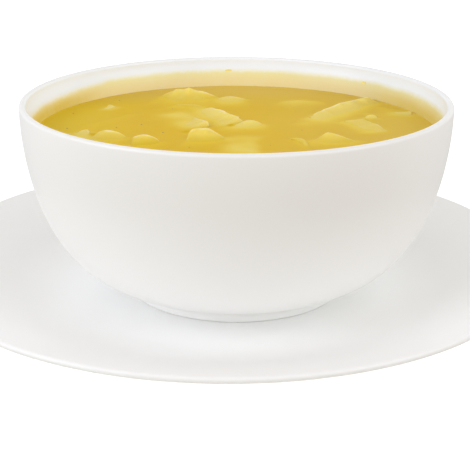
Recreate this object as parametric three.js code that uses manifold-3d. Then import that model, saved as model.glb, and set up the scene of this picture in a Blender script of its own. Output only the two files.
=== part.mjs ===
// A white porcelain bowl of golden soup with broad egg ribbons, standing on its plate.
// Millimetres, +Z up. The origin is the middle of the plate's foot, on the table.
import * as THREE from "three";
import { mergeVertices } from "three/addons/utils/BufferGeometryUtils.js";
import Module from "manifold-3d";

// Driving dimensions
const TURN_STEPS = 48;
const GAP = 0.3;
const WELD = 1e-4;
const PLATE = {
  radius: 109,
  height: 20.5,
  lipRound: 1.1,
  wellTop: 7,
  wellRadius: 57,
  foldRadius: 83.5,
  foldRise: 6,
  thickness: 4,
  footInner: 57.5,
  footOuter: 62.5,
  footHeight: 2.6,
  edgeRound: 0.7,
  curveSteps: 3,
};
const BOWL = {
  axisX: 3.1,
  radius: 76,
  height: 69.4,
  wall: 4.2,
  lip: 2.4,
  shoulder: 2.1,
  taper: 9.5,
  depth: 65.3,
  innerDepth: 60.3,
  squareness: 4.41,
  belly: 1.88,
  jointRadius: 41,
  footRadius: 39.3,
  footRing: 4.6,
  footHeight: 3.2,
  footRecess: 2.6,
  edgeRound: 0.8,
  bodySteps: 11,
  lipSteps: 5,
  footSteps: 2,
};
const SOUP_BELOW_LIP = 11.6;
const RIBBON = {
  thickness: 1.3,
  curlShare: 0.8,
  curlLength: 3,
  ripple: 0.3,
  rippleLength: 13,
  along: 6,
  across: 3,
};

// A ribbon hangs from its far edge, a bend through three points: x and y from the bowl's axis and
// the height over the soup. From there it curls down to the soup and sinks slowly to its near edge.
// The width and the angle of that fall in degrees are given at both ends.
const strip = (from, over, to, width, fall) => ({ edge: [from, over, to], width, fall });
const RIBBONS = {
  ribbon_01: strip([-57, -6.4, -0.2], [-54.3, -5.8, 0.7], [-51.6, -5.4, 1.1], [10, 10], [8, 8]),
  ribbon_02: strip([-48.5, -10.5, 1.3], [-43.1, -10.9, 1.9], [-37.5, -12.4, -0.2], [11, 10], [8, 9]),
  ribbon_03: strip([-35.6, -17.8, 1.4], [-30.7, -17.2, 2.1], [-25.4, -18.4, -0.3], [10, 9], [9, 9]),
  ribbon_04: strip([-16.2, -12, 2.4], [-10, -12, 2.9], [-3.5, -14, -0.4], [12, 10], [9, 9]),
  ribbon_05: strip([-19.5, 25, -0.6], [-14, 13.5, 0.7], [-9.6, 3, 1.6], [11, 9], [6, 6]),
  ribbon_06: strip([-29.2, 53.6, -0.2], [-19.5, 53, 3], [-8, 50.4, 0.5], [14, 12], [6, 6]),
  ribbon_07: strip([-7.5, 47.6, 0], [-2.3, 47.9, 1], [3.4, 46.8, 0.2], [11, 10], [6, 6]),
  ribbon_08: strip([-22.5, 37.3, 0.1], [-18.1, 36, 0.3], [-12.5, 34.9, -0.3], [6, 5], [8, 8]),
  ribbon_09: strip([-9.5, 29.8, 0.6], [-3.7, 17.7, 2], [1.8, 8.6, 1], [11, 9], [7, 8]),
  ribbon_10: strip([2.4, 7.4, 0.6], [5.2, 6.9, 1.5], [8.8, 7.4, 0.1], [10, 9], [8, 8]),
  ribbon_11: strip([25, 14.5, -0.7], [37.3, 30, 1.8], [52, 45, 1.5], [12, 6], [6, 8]),
  ribbon_12: strip([47, 14, 0.4], [51, 5.5, 0.4], [54, -3.5, 0.3], [8.5, 8.5], [1, 1]),
  ribbon_13: strip([59.5, 26, -0.3], [63, 24.5, 0.5], [66, 24, 1], [7, 5], [8, 8]),
  ribbon_14: strip([31.4, -12.4, 1.8], [35.9, -14.6, 1.2], [42, -16.2, -0.3], [10, 9], [9, 9]),
  ribbon_15: strip([7, -20, -0.6], [7.5, -26, -0.6], [7.5, -33, -0.8], [10, 10], [0, 0]),
  ribbon_16: strip([-42, -36, 0.5], [-32, -35.6, 1.7], [-22, -39, 0], [11, 10], [8, 8]),
  ribbon_17: strip([-8, -45, 0], [3, -47, 1.4], [14, -43, 0.2], [10, 10], [8, 9]),
  ribbon_18: strip([27, -37, 0.4], [36, -36.6, 1.8], [45, -40, -0.1], [11, 10], [9, 8]),
  ribbon_19: strip([-26, -55, 0.2], [-17, -55.5, 1.2], [-9, -59, 0], [8, 7], [8, 8]),
  shred_01: strip([-51, 30, 0.4], [-49.3, 32.2, 0.8], [-47.6, 34.2, 1.2], [3.2, 2.4], [8, 8]),
  shred_02: strip([48, 17.5, 0.4], [50, 17.5, 0.9], [52, 18, 0.4], [2.2, 2], [8, 8]),
  shred_03: strip([20.4, -14.4, 0.4], [23, -17.8, 0.7], [25.4, -23.7, 0.2], [2, 1.8], [8, 8]),
};

// Heights that follow from the dimensions above
const BOWL_FOOT_Z = PLATE.wellTop + GAP;
const LIP_ROUND = BOWL.lip / 2;
const LIP_CENTRE_Z = BOWL_FOOT_Z + BOWL.height - LIP_ROUND;
const SHOULDER_Z = BOWL_FOOT_Z + BOWL.height - BOWL.shoulder;
const SOUP_Z = BOWL_FOOT_Z + BOWL.height - SOUP_BELOW_LIP;

const wasm = await Module();
wasm.setup();

// A closed geometry with shared corners and no collapsed triangles, ready to be cut or joined.
function welded(geometry) {
  const bare = new THREE.BufferGeometry();
  bare.setAttribute("position", geometry.getAttribute("position"));
  bare.setIndex(geometry.index);
  const merged = mergeVertices(bare, WELD);
  const corners = merged.index.array;
  const kept = [];
  for (let i = 0; i < corners.length; i += 3) {
    const [a, b, c] = [corners[i], corners[i + 1], corners[i + 2]];
    if (a !== b && b !== c && c !== a) kept.push(a, b, c);
  }
  merged.setIndex(kept);
  return merged;
}

function toSolid(geometry) {
  const vertProperties = new Float32Array(geometry.getAttribute("position").array);
  const triVerts = new Uint32Array(geometry.index.array);
  return new wasm.Manifold(new wasm.Mesh({ numProp: 3, vertProperties, triVerts }));
}

function toGeometry(solid) {
  const mesh = solid.getMesh();
  const geometry = new THREE.BufferGeometry();
  geometry.setAttribute("position", new THREE.BufferAttribute(mesh.vertProperties, 3));
  geometry.setIndex(new THREE.BufferAttribute(mesh.triVerts, 1));
  return geometry;
}

// Turns an outline of radius and height, which starts and ends on the axis, round the Z axis.
function turned(outline) {
  const lathe = new THREE.LatheGeometry(outline, TURN_STEPS);
  lathe.rotateX(Math.PI / 2);
  return welded(lathe);
}

// The belly curve: nearly upright at the shoulder, rounding ever faster into the flat floor.
function bellyPoint(radius, depth, turn) {
  const r = radius * Math.cos(turn) ** (2 / BOWL.squareness);
  const drop = depth * Math.sin(turn) ** (2 / BOWL.belly);
  return new THREE.Vector2(r, SHOULDER_Z - drop);
}

function bellyCurve(radius, depth, lastTurn) {
  const points = [];
  for (let i = 0; i <= BOWL.bodySteps; i++) {
    const turn = (lastTurn * i) / BOWL.bodySteps;
    points.push(bellyPoint(radius, depth, turn));
  }
  return points;
}

// The inside of the bowl, from the shoulder to the axis, moved inwards by a clearance. The wall
// thins towards the lip.
function innerCurve(clearance) {
  const radius = BOWL.radius - BOWL.wall - clearance;
  const curve = bellyCurve(radius, BOWL.innerDepth - clearance, Math.PI / 2);
  for (const point of curve) {
    const above = Math.max(1 - (SHOULDER_Z - point.y) / BOWL.taper, 0);
    point.x += (BOWL.wall - BOWL.lip) * above ** 2;
  }
  curve.at(-1).x = 0;
  return curve;
}

function plateGeometry() {
  const p = PLATE;
  const under = p.wellTop - p.thickness;
  const foldZ = p.wellTop + p.foldRise;
  const underFoldX = p.foldRadius + p.lipRound;
  const underFoldZ = foldZ - p.thickness;
  const underStartX = p.footOuter + 2 * p.footHeight;
  const underCornerX = underStartX + (underFoldX - underStartX) / 3;
  const lipX = p.radius - p.lipRound;
  const lipZ = p.height - p.lipRound;
  const outline = new THREE.Path();
  outline.moveTo(0, under);
  outline.lineTo(p.footInner - 2 * p.edgeRound, under);
  outline.quadraticCurveTo(p.footInner, under, p.footInner, p.edgeRound);
  outline.quadraticCurveTo(p.footInner, 0, p.footInner + p.edgeRound, 0);
  outline.lineTo(p.footOuter - p.edgeRound, 0);
  outline.quadraticCurveTo(p.footOuter, 0, p.footOuter, p.edgeRound);
  outline.quadraticCurveTo(p.footOuter, p.footHeight, underStartX, under);
  outline.quadraticCurveTo(underCornerX, under, underFoldX, underFoldZ);
  outline.lineTo(lipX, lipZ - p.lipRound);
  outline.absarc(lipX, lipZ, p.lipRound, -Math.PI / 2, Math.PI / 2, false);
  outline.lineTo(p.foldRadius, foldZ);
  outline.quadraticCurveTo((p.wellRadius + p.foldRadius) / 2, p.wellTop, p.wellRadius, p.wellTop);
  outline.lineTo(BOWL.footRadius, p.wellTop);
  outline.lineTo(0, p.wellTop);
  return turned(outline.getPoints(p.curveSteps));
}

function bowlGeometry() {
  const b = BOWL;
  const z = BOWL_FOOT_Z;
  const lipX = b.radius - LIP_ROUND;
  const jointTurn = Math.acos((b.jointRadius / b.radius) ** (b.squareness / 2));
  const joint = bellyPoint(b.radius, b.depth, jointTurn);
  const footInner = b.footRadius - b.footRing;
  const foot = new THREE.Path();
  foot.moveTo(0, z + b.footRecess);
  foot.lineTo(footInner - 2 * b.edgeRound, z + b.footRecess);
  foot.quadraticCurveTo(footInner, z + b.footRecess, footInner, z + b.edgeRound);
  foot.quadraticCurveTo(footInner, z, footInner + b.edgeRound, z);
  foot.lineTo(b.footRadius - b.edgeRound, z);
  foot.quadraticCurveTo(b.footRadius, z, b.footRadius, z + b.edgeRound);
  foot.quadraticCurveTo(b.footRadius, z + b.footHeight, joint.x, joint.y);
  const lip = new THREE.Path();
  lip.absarc(lipX, LIP_CENTRE_Z, LIP_ROUND, 0, Math.PI, false);
  const outside = bellyCurve(b.radius, b.depth, jointTurn).reverse();
  const outline = [
    ...foot.getPoints(b.footSteps),
    ...outside.slice(1),
    ...lip.getPoints(b.lipSteps),
    ...innerCurve(0),
  ];
  return turned(outline);
}

// The way out of a strip at its first and last row, and nothing in between.
function outwards(index, last) {
  return index === 0 ? -1 : index === last ? 1 : 0;
}

// A thin wavy strip with the same triangles on both faces. A positive growth widens it all round.
function stripGeometry({ edge, width, fall }, growth = 0) {
  const [from, over, to] = edge.map((p) => new THREE.Vector3(...p));
  const control = over.clone().multiplyScalar(2).sub(from.clone().add(to).multiplyScalar(0.5));
  const path = new THREE.QuadraticBezierCurve3(from, control, to);
  const length = path.getLength();
  const half = RIBBON.thickness / 2 + growth;
  const rows = RIBBON.along;
  const columns = RIBBON.across;
  const between = THREE.MathUtils.lerp;
  const place = (s, v) => {
    const point = path.getPoint(s);
    const way = control.clone().lerp(to, s).sub(from.clone().lerp(control, s)).setZ(0).normalize();
    const reach = v * between(width[0], width[1], s);
    const slope = Math.tan(THREE.MathUtils.degToRad(between(fall[0], fall[1], s)));
    const curl = RIBBON.curlShare * Math.max(point.z, 0) * (1 - Math.exp(-reach / RIBBON.curlLength));
    point.addScaledVector(new THREE.Vector3(way.y, -way.x, 0), reach);
    point.z -= curl + slope * reach;
    point.z += RIBBON.ripple * v * Math.sin((2 * Math.PI * length * s) / RIBBON.rippleLength + from.x);
    return point;
  };
  const positions = [];
  const step = 1e-3;
  for (const side of [1, -1]) {
    for (let i = 0; i <= rows; i++) {
      for (let j = 0; j <= columns; j++) {
        const s = i / rows + outwards(i, rows) * (growth / length);
        const v = j / columns + outwards(j, columns) * (growth / between(width[0], width[1], s));
        const along = place(s + step, v).sub(place(s - step, v));
        const across = place(s, v + step).sub(place(s, v - step));
        const normal = across.cross(along).normalize();
        const point = place(s, v).addScaledVector(normal, side * half);
        positions.push(point.x, point.y, point.z);
      }
    }
  }
  const faceSize = (rows + 1) * (columns + 1);
  const at = (i, j) => i * (columns + 1) + j;
  const triangles = [];
  for (let i = 0; i < rows; i++) {
    for (let j = 0; j < columns; j++) {
      const [a, b, c, d] = [at(i, j), at(i + 1, j), at(i + 1, j + 1), at(i, j + 1)];
      triangles.push(a, c, b, a, d, c);
      const [e, f, g, h] = [a, b, c, d].map((corner) => corner + faceSize);
      triangles.push(e, f, g, e, g, h);
    }
  }
  const rim = [];
  for (let i = 0; i < rows; i++) rim.push(at(i, 0));
  for (let j = 0; j < columns; j++) rim.push(at(rows, j));
  for (let i = rows; i > 0; i--) rim.push(at(i, columns));
  for (let j = columns; j > 0; j--) rim.push(at(0, j));
  rim.forEach((a, k) => {
    const b = rim[(k + 1) % rim.length];
    triangles.push(a, b, b + faceSize, a, b + faceSize, a + faceSize);
  });
  const geometry = new THREE.BufferGeometry();
  geometry.setAttribute("position", new THREE.Float32BufferAttribute(positions, 3));
  geometry.setIndex(triangles);
  geometry.translate(0, 0, SOUP_Z);
  return geometry;
}

// The soup fills the bowl to its level and leaves room for every ribbon that hangs in it.
function soupGeometry() {
  const inside = innerCurve(GAP).filter((p) => p.y < SOUP_Z);
  const turnAtLevel = Math.asin(((SHOULDER_Z - SOUP_Z) / (BOWL.innerDepth - GAP)) ** (BOWL.belly / 2));
  const brim = bellyPoint(BOWL.radius - BOWL.wall - GAP, BOWL.innerDepth - GAP, turnAtLevel);
  const outline = [...inside.reverse(), brim, new THREE.Vector2(0, SOUP_Z)];
  let soup = toSolid(turned(outline));
  for (const ribbon of Object.values(RIBBONS)) {
    soup = soup.subtract(toSolid(stripGeometry(ribbon, GAP)));
  }
  const bodies = soup.decompose().sort((a, b) => b.volume() - a.volume());
  return toGeometry(bodies[0]);
}

function porcelain() {
  return new THREE.MeshStandardMaterial({ color: 0xeeece6, roughness: 0.15, metalness: 0 });
}

function broth() {
  return new THREE.MeshStandardMaterial({ color: 0xd8b440, roughness: 0.1, metalness: 0 });
}

function eggRibbon() {
  return new THREE.MeshStandardMaterial({ color: 0xe8cf68, roughness: 0.3, metalness: 0 });
}

function piece(name, geometry, material) {
  const mesh = new THREE.Mesh(geometry, material);
  mesh.name = name;
  return mesh;
}

// The bowl, its soup and the ribbons stand together, a little off the middle of the plate.
const serving = new THREE.Group();
serving.position.x = BOWL.axisX;
serving.add(piece("bowl", bowlGeometry(), porcelain()));
serving.add(piece("soup", soupGeometry(), broth()));
for (const [name, ribbon] of Object.entries(RIBBONS)) {
  serving.add(piece(name, stripGeometry(ribbon), eggRibbon()));
}

const soupOnPlate = new THREE.Group();
soupOnPlate.add(piece("plate", plateGeometry(), porcelain()));
soupOnPlate.add(serving);

export default soupOnPlate;
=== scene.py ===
# %% [markdown]
# # A bowl of golden soup on its plate
#
# A bowl of soup is two easy things and one hard one. The bowl and the plate are turned shapes, so a
# profile spun round an axis makes each of them. The soup is the hard one: egg ribbons rise out of
# it, hang down into it and fade away in the cloudy broth. This lesson dresses a measured model,
# which gives every size and place and is never moved itself.

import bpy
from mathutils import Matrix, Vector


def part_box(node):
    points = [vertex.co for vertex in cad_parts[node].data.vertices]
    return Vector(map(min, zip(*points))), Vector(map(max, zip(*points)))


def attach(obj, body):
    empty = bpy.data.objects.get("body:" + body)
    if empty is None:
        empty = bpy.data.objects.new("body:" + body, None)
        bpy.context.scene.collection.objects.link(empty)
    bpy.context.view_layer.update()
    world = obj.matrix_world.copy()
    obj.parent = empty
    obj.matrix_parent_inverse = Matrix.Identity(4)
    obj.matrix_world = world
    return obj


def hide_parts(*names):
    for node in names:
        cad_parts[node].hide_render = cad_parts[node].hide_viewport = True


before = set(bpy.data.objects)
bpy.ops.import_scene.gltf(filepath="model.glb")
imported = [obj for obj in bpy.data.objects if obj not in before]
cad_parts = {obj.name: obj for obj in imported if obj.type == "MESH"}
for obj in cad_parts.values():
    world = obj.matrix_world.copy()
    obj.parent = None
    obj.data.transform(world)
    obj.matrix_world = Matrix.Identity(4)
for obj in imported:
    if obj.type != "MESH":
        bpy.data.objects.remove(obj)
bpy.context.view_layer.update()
print("measured model:", len(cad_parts), "nodes")

# %% [markdown]
# ## The main sizes
#
# Sizes could be typed in again, but they would drift apart from the model. So the outer sizes are
# read from the model's boxes, and only what a box can't tell, such as a wall's thickness, is
# written down, in millimetres, next to the piece that needs it.

# %% Read the main sizes
import math
import random

import bmesh
import bpy
import numpy as np
from mathutils import Matrix, Vector, noise
from mathutils.bvhtree import BVHTree

MM = 0.001
bowl_low, bowl_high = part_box("bowl")
plate_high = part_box("plate")[1]
axis_x = (bowl_low.x + bowl_high.x) / 2 / MM
bowl_radius = (bowl_high.x - bowl_low.x) / 2 / MM
lip_top = bowl_high.z / MM
plate_radius = plate_high.x / MM
plate_height = plate_high.z / MM
soup_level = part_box("soup")[1].z / MM
print(f"bowl {2 * bowl_radius:.1f} mm across, lip {lip_top:.1f} mm up, soup at {soup_level:.1f} mm")

# %% [markdown]
# ## The camera
#
# A product photograph of tableware is taken with a longish lens from a little above the table. The
# numbers below come from the outlines of lip, foot and plate: only one place of the camera draws
# all of those ovals as the photograph does. A matrix is built from turns one after the other,
# because that keeps the slight tilt about the line of sight apart from the look downwards.

# %% Stand the camera where the photograph was taken
CAMERA_BACK = 408.25
CAMERA_UP = 169.13
LOOK_DOWN = math.radians(19.452)
LOOK_LEFT = math.radians(0.051)
LEAN = math.radians(0.2)
SENSOR_WIDTH = 36
LENS = 90.09

camera_data = bpy.data.cameras.new("camera")
camera_data.sensor_width = SENSOR_WIDTH
camera_data.lens = LENS
camera = bpy.data.objects.new("camera", camera_data)
bpy.context.scene.collection.objects.link(camera)
bpy.context.scene.camera = camera
aim = Matrix.Rotation(LOOK_LEFT, 4, "Z")
aim @= Matrix.Rotation(math.pi / 2 - LOOK_DOWN, 4, "X")
aim @= Matrix.Rotation(LEAN, 4, "Z")
camera.matrix_world = Matrix.Translation(Vector((axis_x, -CAMERA_BACK, CAMERA_UP)) * MM) @ aim
print("camera at", [round(x, 3) for x in camera.matrix_world.translation])

# %% [markdown]
# ## Shader maths as Python
#
# A finish is a small program of nodes. Wired by hand it takes three lines for each sum, so one class
# wraps a socket and lets Python's own operators add the Math nodes: `1 - mask` then reads as it
# would on paper. Everything else, from noise to the shader itself, comes from its one method `node`.

# %% The socket class


class Shade:
    """A socket in a material's nodes. Sums on it add Math nodes."""

    def __init__(self, tree, socket=None):
        self.tree = tree
        self.socket = socket

    def node(self, kind, settings=None, inputs=None, output=0):
        """Adds a node: first its settings, then the values or links of its sockets."""
        made = self.tree.nodes.new("ShaderNode" + kind)
        for key, value in (settings or {}).items():
            setattr(made, key, value)
        for key, value in (inputs or {}).items():
            if isinstance(value, Shade):
                self.tree.links.new(value.socket, made.inputs[key])
            else:
                made.inputs[key].default_value = value
        return Shade(self.tree, made.outputs[output] if made.outputs else None)

    def sum(self, operation, first, second):
        return self.node("Math", {"operation": operation}, {0: first, 1: second})

    def __add__(self, other):
        return self.sum("ADD", self, other)

    def __radd__(self, other):
        return self.sum("ADD", other, self)

    def __sub__(self, other):
        return self.sum("SUBTRACT", self, other)

    def __rsub__(self, other):
        return self.sum("SUBTRACT", other, self)

    def __mul__(self, other):
        return self.sum("MULTIPLY", self, other)

    def __rmul__(self, other):
        return self.sum("MULTIPLY", other, self)

    def __pow__(self, other):
        return self.sum("POWER", self, other)

    def __rpow__(self, other):
        return self.sum("POWER", other, self)


print("socket class ready")

# %% Helpers that every finish shares


def new_finish(name):
    """An empty material, and a Shade that adds nodes to it."""
    finish = bpy.data.materials.new(name)
    finish.use_nodes = True
    finish.node_tree.nodes.clear()
    return finish, Shade(finish.node_tree)


def place_mm(shade, axes="XYZ"):
    """The point of the surface in millimetres, as one number for each axis asked for."""
    point = shade.node("TexCoord", output="Object")
    return [shade.node("SeparateXYZ", {}, {"Vector": point}, axis) * (1 / MM) for axis in axes]


def carried(shade, name):
    """A number that the mesh itself carries at each point, under this name."""
    return shade.node("Attribute", {"attribute_name": name}, output="Fac")


def speckle(shade, size_mm, detail=2.0, stretch=(1, 1, 1)):
    """Soft noise from 0 to 1 whose blobs are about so many millimetres across."""
    point = shade.node("TexCoord", output="Object")
    point = shade.node("VectorMath", {"operation": "MULTIPLY"}, {0: point, 1: stretch})
    return shade.node("TexNoise", {}, {"Vector": point, "Scale": 1 / (size_mm * MM), "Detail": detail})


def step(shade, value, low, high):
    """Rises softly from 0 to 1 while the value goes from low to high."""
    inputs = {"Value": value, "From Min": low, "From Max": high}
    return shade.node("MapRange", {"interpolation_type": "SMOOTHSTEP"}, inputs)


def blend(shade, factor, first, second):
    """A colour between two others."""
    inputs = {"Factor": factor, 6: first, 7: second}
    return shade.node("Mix", {"data_type": "RGBA"}, inputs, 2)


def bumps(shade, height, strength, depth_mm):
    """A normal that is tilted by small bumps of this height pattern."""
    inputs = {"Strength": strength, "Distance": depth_mm * MM, "Height": height}
    return shade.node("Bump", {}, inputs)


def surface(shade, **inputs):
    """Ends a finish with the shader. Names of sockets are written with _ for a space."""
    named = {key.replace("_", " "): value for key, value in inputs.items()}
    shader = shade.node("BsdfPrincipled", {}, named)
    shade.node("OutputMaterial", {}, {"Surface": shader})


print("helpers for finishes ready")

# %% [markdown]
# ## Soft boxes
#
# White porcelain on white is lit with large soft boxes, so that no hard edge shows in the glaze. The
# left box is stronger than the right one: that is what rounds the bowl. A spotlight would be
# simpler, but it would draw a small bright dot and a hard shadow.

# %% Hang the soft boxes
LOOKED_AT = Vector((axis_x, 0, 40)) * MM
# Each box has its place and size in metres, its power in watts and its tint.
SOFTBOXES = {
    "left_box": ((-1.4, -0.7, 0.9), 1.2, 12.2, (0.86, 0.89, 1.0)),
    "left_low_box": ((-1.6, -0.6, 0.35), 0.9, 1.5, (1.0, 1.0, 1.0)),
    "right_box": ((1.4, -0.7, 0.9), 1.2, 7.5, (0.89, 0.91, 1.0)),
}


def softbox(name, place, size, power, tint):
    """A square lamp that is turned towards the bowl."""
    data = bpy.data.lights.new(name, "AREA")
    data.size = size
    data.energy = power
    data.color = tint
    lamp = bpy.data.objects.new(name, data)
    bpy.context.scene.collection.objects.link(lamp)
    lamp.location = place
    lamp.rotation_euler = (LOOKED_AT - lamp.location).to_track_quat("-Z", "Y").to_euler()


for box_name, box_settings in SOFTBOXES.items():
    softbox(box_name, *box_settings)
print("soft boxes:", ", ".join(SOFTBOXES))

# %% [markdown]
# ## The room and the floor
#
# Most of the light comes from the room itself: white walls, a duller ceiling, and below them the
# glow of a pale table, which is not the same to the left, to the right, far off and right under the
# dish. A picture of a real room could give that too, but a few blended colours are enough and need
# no file. The floor is a glowing sheet that only the camera sees, because the table's glow is already
# part of the room. Light that may bounce eight times also reaches the folds under the ribbons and
# the gap between bowl and plate, so they don't go dark.

# %% Light the room
ROOM_LEFT = (1.02, 1.07, 1.11, 1)
ROOM_RIGHT = (1.19, 1.23, 1.23, 1)
ROOM_OVERHEAD = (0.44, 0.35, 0.28, 1)
TABLE_LEFT = (0.37, 0.32, 0.20, 1)
TABLE_RIGHT = (0.26, 0.17, 0.07, 1)
TABLE_FAR = (0.63, 0.62, 0.61, 1)
TABLE_UNDER = (1.6, 1.6, 1.6, 1)
LEFT_TO_RIGHT = (-0.7, 0.7)
WALL_TO_CEILING = (0.5, 0.9)
NEAR_TO_FAR = (-0.2, 0.4)
UNDER_TO_TABLE = (-0.9, -0.7)
TABLE_TO_WALL = (-0.05, 0.05)
BOUNCES = 8


def white_room():
    """A white room with a duller ceiling, and below it the glow of a pale table."""
    world = bpy.data.worlds.new("white_room")
    world.use_nodes = True
    world.node_tree.nodes.clear()
    shade = Shade(world.node_tree)
    way = shade.node("TexCoord", output="Generated")
    across, depth, height = (shade.node("SeparateXYZ", {}, {"Vector": way}, axis) for axis in "XYZ")
    side = step(shade, across, *LEFT_TO_RIGHT)
    colour = blend(shade, side, ROOM_LEFT, ROOM_RIGHT)
    colour = blend(shade, step(shade, height, *WALL_TO_CEILING), colour, ROOM_OVERHEAD)
    table = blend(shade, side, TABLE_LEFT, TABLE_RIGHT)
    table = blend(shade, step(shade, depth, *NEAR_TO_FAR), table, TABLE_FAR)
    table = blend(shade, step(shade, height, *UNDER_TO_TABLE), TABLE_UNDER, table)
    colour = blend(shade, step(shade, height, *TABLE_TO_WALL), table, colour)
    light = shade.node("Background", {}, {"Color": colour})
    shade.node("OutputWorld", {}, {"Surface": light})
    return world


bpy.context.scene.world = white_room()
bpy.context.scene.view_settings.view_transform = "Standard"
bpy.context.scene.cycles.diffuse_bounces = BOUNCES
print("room lit:", bpy.context.scene.world.name)

# %% Lay the floor
FLOOR_REACH = 12
FLOOR_GREY = (0.5, 0.5, 0.5, 1)
FLOOR_ROUGH = 0.9
FLOOR_LIGHT = (1, 1, 1, 1)
FLOOR_GLOW = 0.85

floor_form = bmesh.new()
bmesh.ops.create_grid(floor_form, x_segments=1, y_segments=1, size=FLOOR_REACH)
floor_mesh = bpy.data.meshes.new("floor")
floor_form.to_mesh(floor_mesh)
floor_form.free()
floor = bpy.data.objects.new("floor", floor_mesh)
bpy.context.scene.collection.objects.link(floor)
floor.visible_diffuse = False
floor.visible_glossy = False
floor.visible_shadow = False
floor_finish, floor_shade = new_finish("pale_sheet")
surface(
    floor_shade, Base_Color=FLOOR_GREY, Roughness=FLOOR_ROUGH,
    Emission_Color=FLOOR_LIGHT, Emission_Strength=FLOOR_GLOW,
)
floor_mesh.materials.append(floor_finish)
print("floor:", 2 * FLOOR_REACH, "m wide")

# %% [markdown]
# ## Porcelain
#
# Tableware porcelain is a dense warm white body under a clear glaze. The glaze isn't perfectly even:
# it clouds the white a little, and it lies in very long shallow waves that bend the reflections. The
# ring that a dish stands on is wiped bare before firing, so it is matt and a little darker. All of
# this could be painted on an image, but noise in the object's own coordinates needs no seams.

# %% The glaze
PORCELAIN_CLOUD = (0.885, 0.875, 0.85, 1)
BISCUIT = (0.86, 0.85, 0.82, 1)
CLOUD_SHARE = 0.5
BARE_HEIGHT = (0.25, 0.55)
BARE_ROUGHER = 0.4
GLAZE_ROUGH = 0.29
GLAZE_UNEVEN = 0.06
GLAZE_SPECULAR = 0.4
WAVE_STRENGTH = 0.15
WAVE_DEPTH = 0.3


def porcelain(name, white, ring_z, lining=None):
    """Glazed porcelain with a bare ring at the height ring_z. A lining adds to the glaze's colour."""
    finish, shade = new_finish(name)
    x, y, z = place_mm(shade)
    colour = blend(shade, CLOUD_SHARE * speckle(shade, size_mm=30), white, PORCELAIN_CLOUD)
    if lining:
        colour = lining(shade, colour, x, y, z)
    bare = 1 - step(shade, z, ring_z + BARE_HEIGHT[0], ring_z + BARE_HEIGHT[1])
    colour = blend(shade, bare, colour, BISCUIT)
    waves = bumps(shade, speckle(shade, size_mm=22, detail=1), WAVE_STRENGTH, WAVE_DEPTH)
    rough = GLAZE_ROUGH + GLAZE_UNEVEN * speckle(shade, size_mm=14) + BARE_ROUGHER * bare
    surface(shade, Base_Color=colour, Roughness=rough, Normal=waves, Specular_IOR_Level=GLAZE_SPECULAR)
    return finish


print("glaze ready, bare up to", BARE_HEIGHT[1], "mm over the ring")

# %% [markdown]
# ## Turned dishes
#
# A potter throws a dish on a wheel or presses it with a turning template. Blender's spin does the
# same: it drives a profile once round the axis. Each profile is a chain of straight runs and bends,
# and a bend is a curve that starts along one line and leaves along another.

# %% Helpers for a turned dish
TURN_STEPS = 180
WELD = 0.001


def bend(start, corner, end, steps=6):
    """Points on a curve that is drawn towards a corner, without its first point."""
    start, corner, end = Vector(start), Vector(corner), Vector(end)
    points = []
    for i in range(1, steps + 1):
        share = i / steps
        points.append(start.lerp(corner, share).lerp(corner.lerp(end, share), share))
    return points


def arc(centre, radius, first, last, steps=10):
    """Points on a round edge, from one angle in degrees to another."""
    points = []
    for i in range(steps + 1):
        angle = math.radians(first + (last - first) * i / steps)
        out, up = radius * math.cos(angle), radius * math.sin(angle)
        points.append(Vector((centre[0] + out, centre[1] + up)))
    return points


def turn(profile, middle_x):
    """Spins a profile of radius and height, in millimetres, round an upright axis."""
    form = bmesh.new()
    corners = [form.verts.new((r * MM, 0, z * MM)) for r, z in profile]
    chain = [form.edges.new(pair) for pair in zip(corners, corners[1:])]
    bmesh.ops.spin(
        form, geom=corners + chain, cent=(0, 0, 0), axis=(0, 0, 1),
        angle=2 * math.pi, steps=TURN_STEPS, use_merge=True,
    )
    bmesh.ops.remove_doubles(form, verts=form.verts, dist=WELD * MM)
    bmesh.ops.recalc_face_normals(form, faces=form.faces)
    bmesh.ops.translate(form, verts=form.verts, vec=(middle_x * MM, 0, 0))
    return form


print("a turned dish has", TURN_STEPS, "steps round")

# %% Turn a form into a piece of the object


def add_piece(name, form, finish, replaced=()):
    """Makes a smooth object of a form, lets it ride on the model and hides the measured parts that it
    replaces.
    """
    mesh = bpy.data.meshes.new(name)
    form.to_mesh(mesh)
    form.free()
    mesh.shade_smooth()
    mesh.materials.append(finish)
    piece = bpy.data.objects.new(name, mesh)
    bpy.context.scene.collection.objects.link(piece)
    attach(piece, "root")
    if replaced:
        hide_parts(*replaced)
    print(f"{name}: {len(mesh.vertices)} vertices, {len(mesh.polygons)} faces")
    return piece


print("every piece rides on the body root")

# %% [markdown]
# ## The plate
#
# A plain coupe plate: a flat well, a soft fold and a wide rim that climbs to a thin rounded lip. It
# stands on a ring, so the middle of its underside is clear of the table. The fold is a bend, not a
# crease, because a crease would catch a sharp line of light that real glaze never shows. Its white
# is a little cleaner than the bowl's.

# %% The plate's sizes
PLATE_LIP = 1.1
PLATE_WELL = 7.0
PLATE_WELL_RADIUS = 57.0
PLATE_FOLD_RADIUS = 83.5
PLATE_FOLD_RISE = 6.0
PLATE_THICKNESS = 4.0
PLATE_RING = (57.5, 62.5)
PLATE_RING_HEIGHT = 2.6
PLATE_EDGE = 0.7
PLATE_WHITE = (0.905, 0.905, 0.90, 1)

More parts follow.
